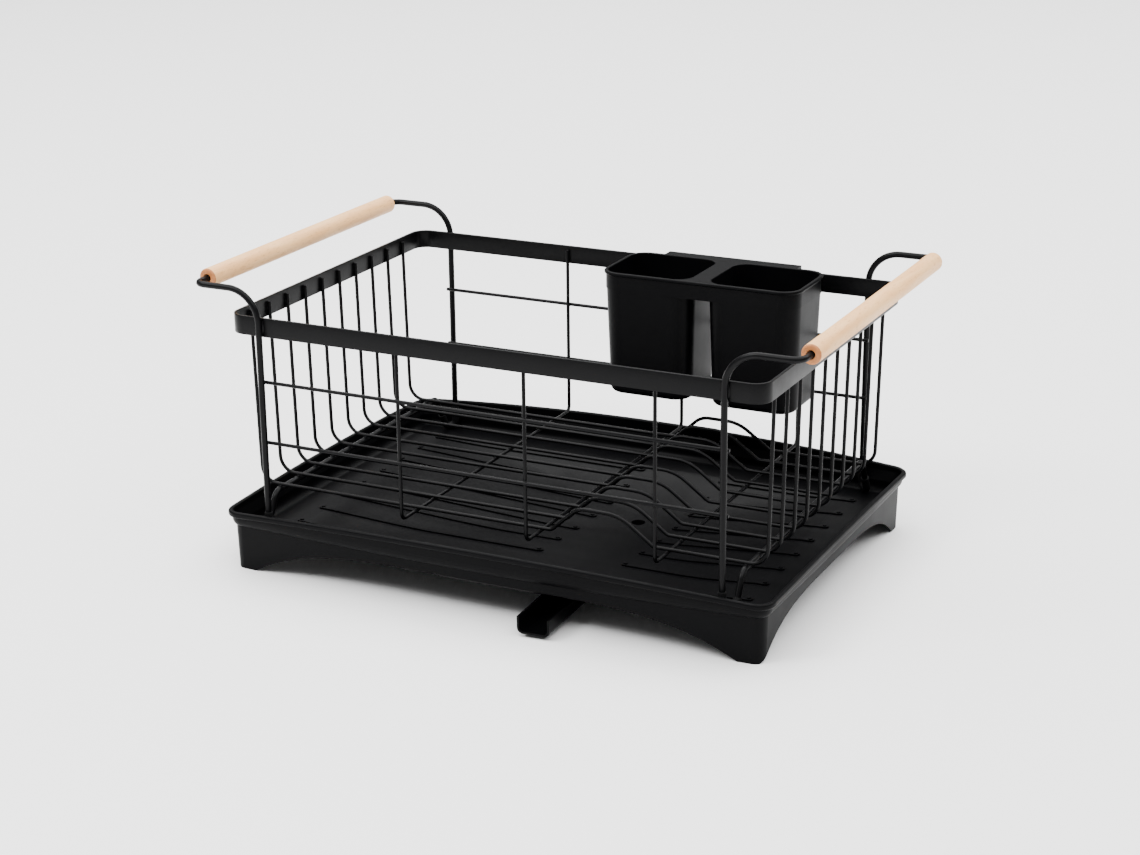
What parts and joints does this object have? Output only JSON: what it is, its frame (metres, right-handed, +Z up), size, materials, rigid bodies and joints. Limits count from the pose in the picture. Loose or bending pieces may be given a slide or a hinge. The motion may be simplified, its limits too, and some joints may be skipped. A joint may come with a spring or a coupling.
{
  "type": "dish drying rack",
  "caption": "Black wire dish drying basket with wooden carrying grips, standing in a moulded drip tray with a swivelling drain spout and a hanging twin utensil cup.",
  "frame": {"origin": "on the table, under the middle of the outline of rack, tray and spout", "axes": "+Z up, +X along the rack towards the grip beside the utensil cups, +Y to the back, where the utensil cups hang; the spout leaves at the front, -Y"},
  "size_m": [0.5306, 0.3619, 0.2463],
  "materials": {
    "black_steel": "satin black powder coat on steel wire and strip",
    "sleeve_rubber": "matt black soft vinyl tube",
    "beech": "light turned beech with a thin clear varnish",
    "holder_plastic": "satin black moulded polypropylene",
    "tray_plastic": "satin black moulded polypropylene",
    "spout_plastic": "satin black moulded polypropylene"
  },
  "bodies": {
    "tray": {"drip_tray": "tray_plastic", "spout_retaining_ring": "spout_plastic"},
    "basket": {"rim_hoop": "black_steel", "handle_frame_left": "black_steel", "handle_frame_right": "black_steel", "long_wire_01": "black_steel", "long_wire_02": "black_steel", "long_wire_03": "black_steel", "long_wire_04": "black_steel", "long_wire_05": "black_steel", "long_wire_06": "black_steel", "long_wire_07": "black_steel", "long_wire_08": "black_steel", "long_wire_09": "black_steel", "long_wire_10": "black_steel", "cross_wire_1": "black_steel", "cross_wire_2": "black_steel", "cross_wire_3": "black_steel", "rail_front_upper": "black_steel", "rail_front_lower": "black_steel", "rail_back_upper": "black_steel", "rail_back_lower": "black_steel", "foot_sleeve_front_left": "sleeve_rubber", "foot_sleeve_front_right": "sleeve_rubber", "foot_sleeve_back_left": "sleeve_rubber", "foot_sleeve_back_right": "sleeve_rubber"},
    "utensil_holder": {"utensil_holder": "holder_plastic"},
    "spout": {"drain_spout": "spout_plastic"},
    "grip_left": {"grip_left": "beech"},
    "grip_right": {"grip_right": "beech"}
  },
  "joints": [
    {"name": "basket_lift", "type": "slide", "parent": "tray", "child": "basket", "axis": [0, 0, 1], "range_m": [0, 0.12]},
    {"name": "holder_lift", "type": "slide", "parent": "basket", "child": "utensil_holder", "axis": [0, 0, 1], "range_m": [0, 0.12]},
    {"name": "spout_swivel", "type": "hinge", "parent": "tray", "child": "spout", "pos_m": [0.045, 0.03875, 0.008], "axis": [0, 0, 1], "range_deg": [-180, 95]},
    {"name": "grip_left_spin", "type": "hinge", "parent": "basket", "child": "grip_left", "pos_m": [-0.2575, 0.01025, 0.2385], "axis": [0, 1, 0], "continuous": true},
    {"name": "grip_right_spin", "type": "hinge", "parent": "basket", "child": "grip_right", "pos_m": [0.2575, 0.01025, 0.2385], "axis": [0, 1, 0], "continuous": true}
  ]
}
